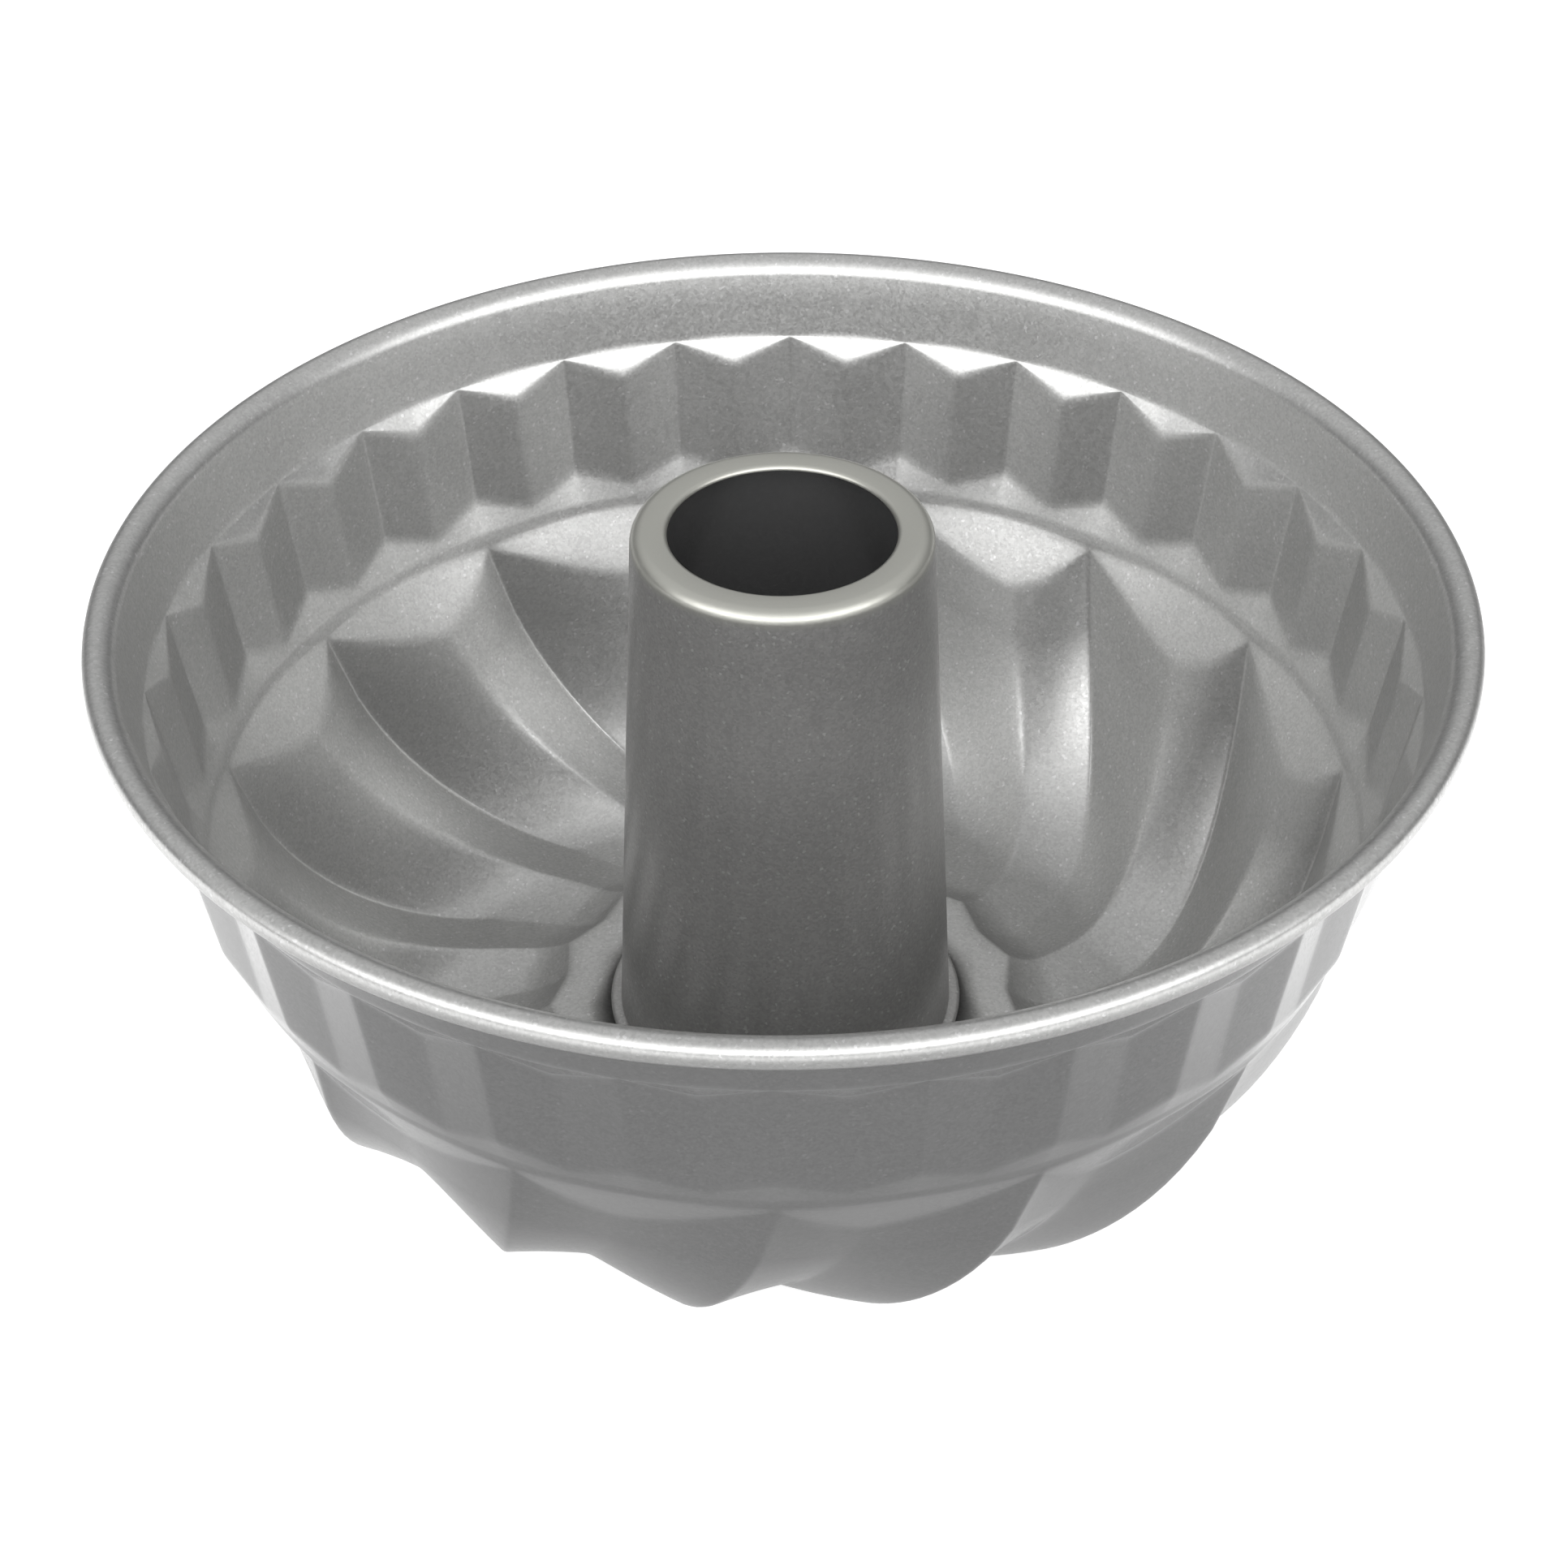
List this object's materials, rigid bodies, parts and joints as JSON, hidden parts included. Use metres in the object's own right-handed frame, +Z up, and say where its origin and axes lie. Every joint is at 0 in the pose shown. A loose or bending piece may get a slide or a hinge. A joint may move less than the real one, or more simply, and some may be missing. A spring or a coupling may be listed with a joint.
{
  "type": "ring cake pan",
  "caption": "Round non-stick steel ring cake pan with a rolled rim, a band of upright flutes over twisted flutes, and an open conical centre tube.",
  "frame": {"origin": "on the pan's axis, in the plane of the flat lands that the pan stands on", "axes": "+Z up along the axis of the rim and the tube, +X and +Y level; one flute tip lies straight towards -Y"},
  "size_m": [0.234, 0.234, 0.1091],
  "materials": {
    "shell_coating": "satin",
    "tube_coating": "satin"
  },
  "bodies": {
    "root": {"fluted_shell": "shell_coating", "centre_tube": "tube_coating"}
  },
  "joints": []
}
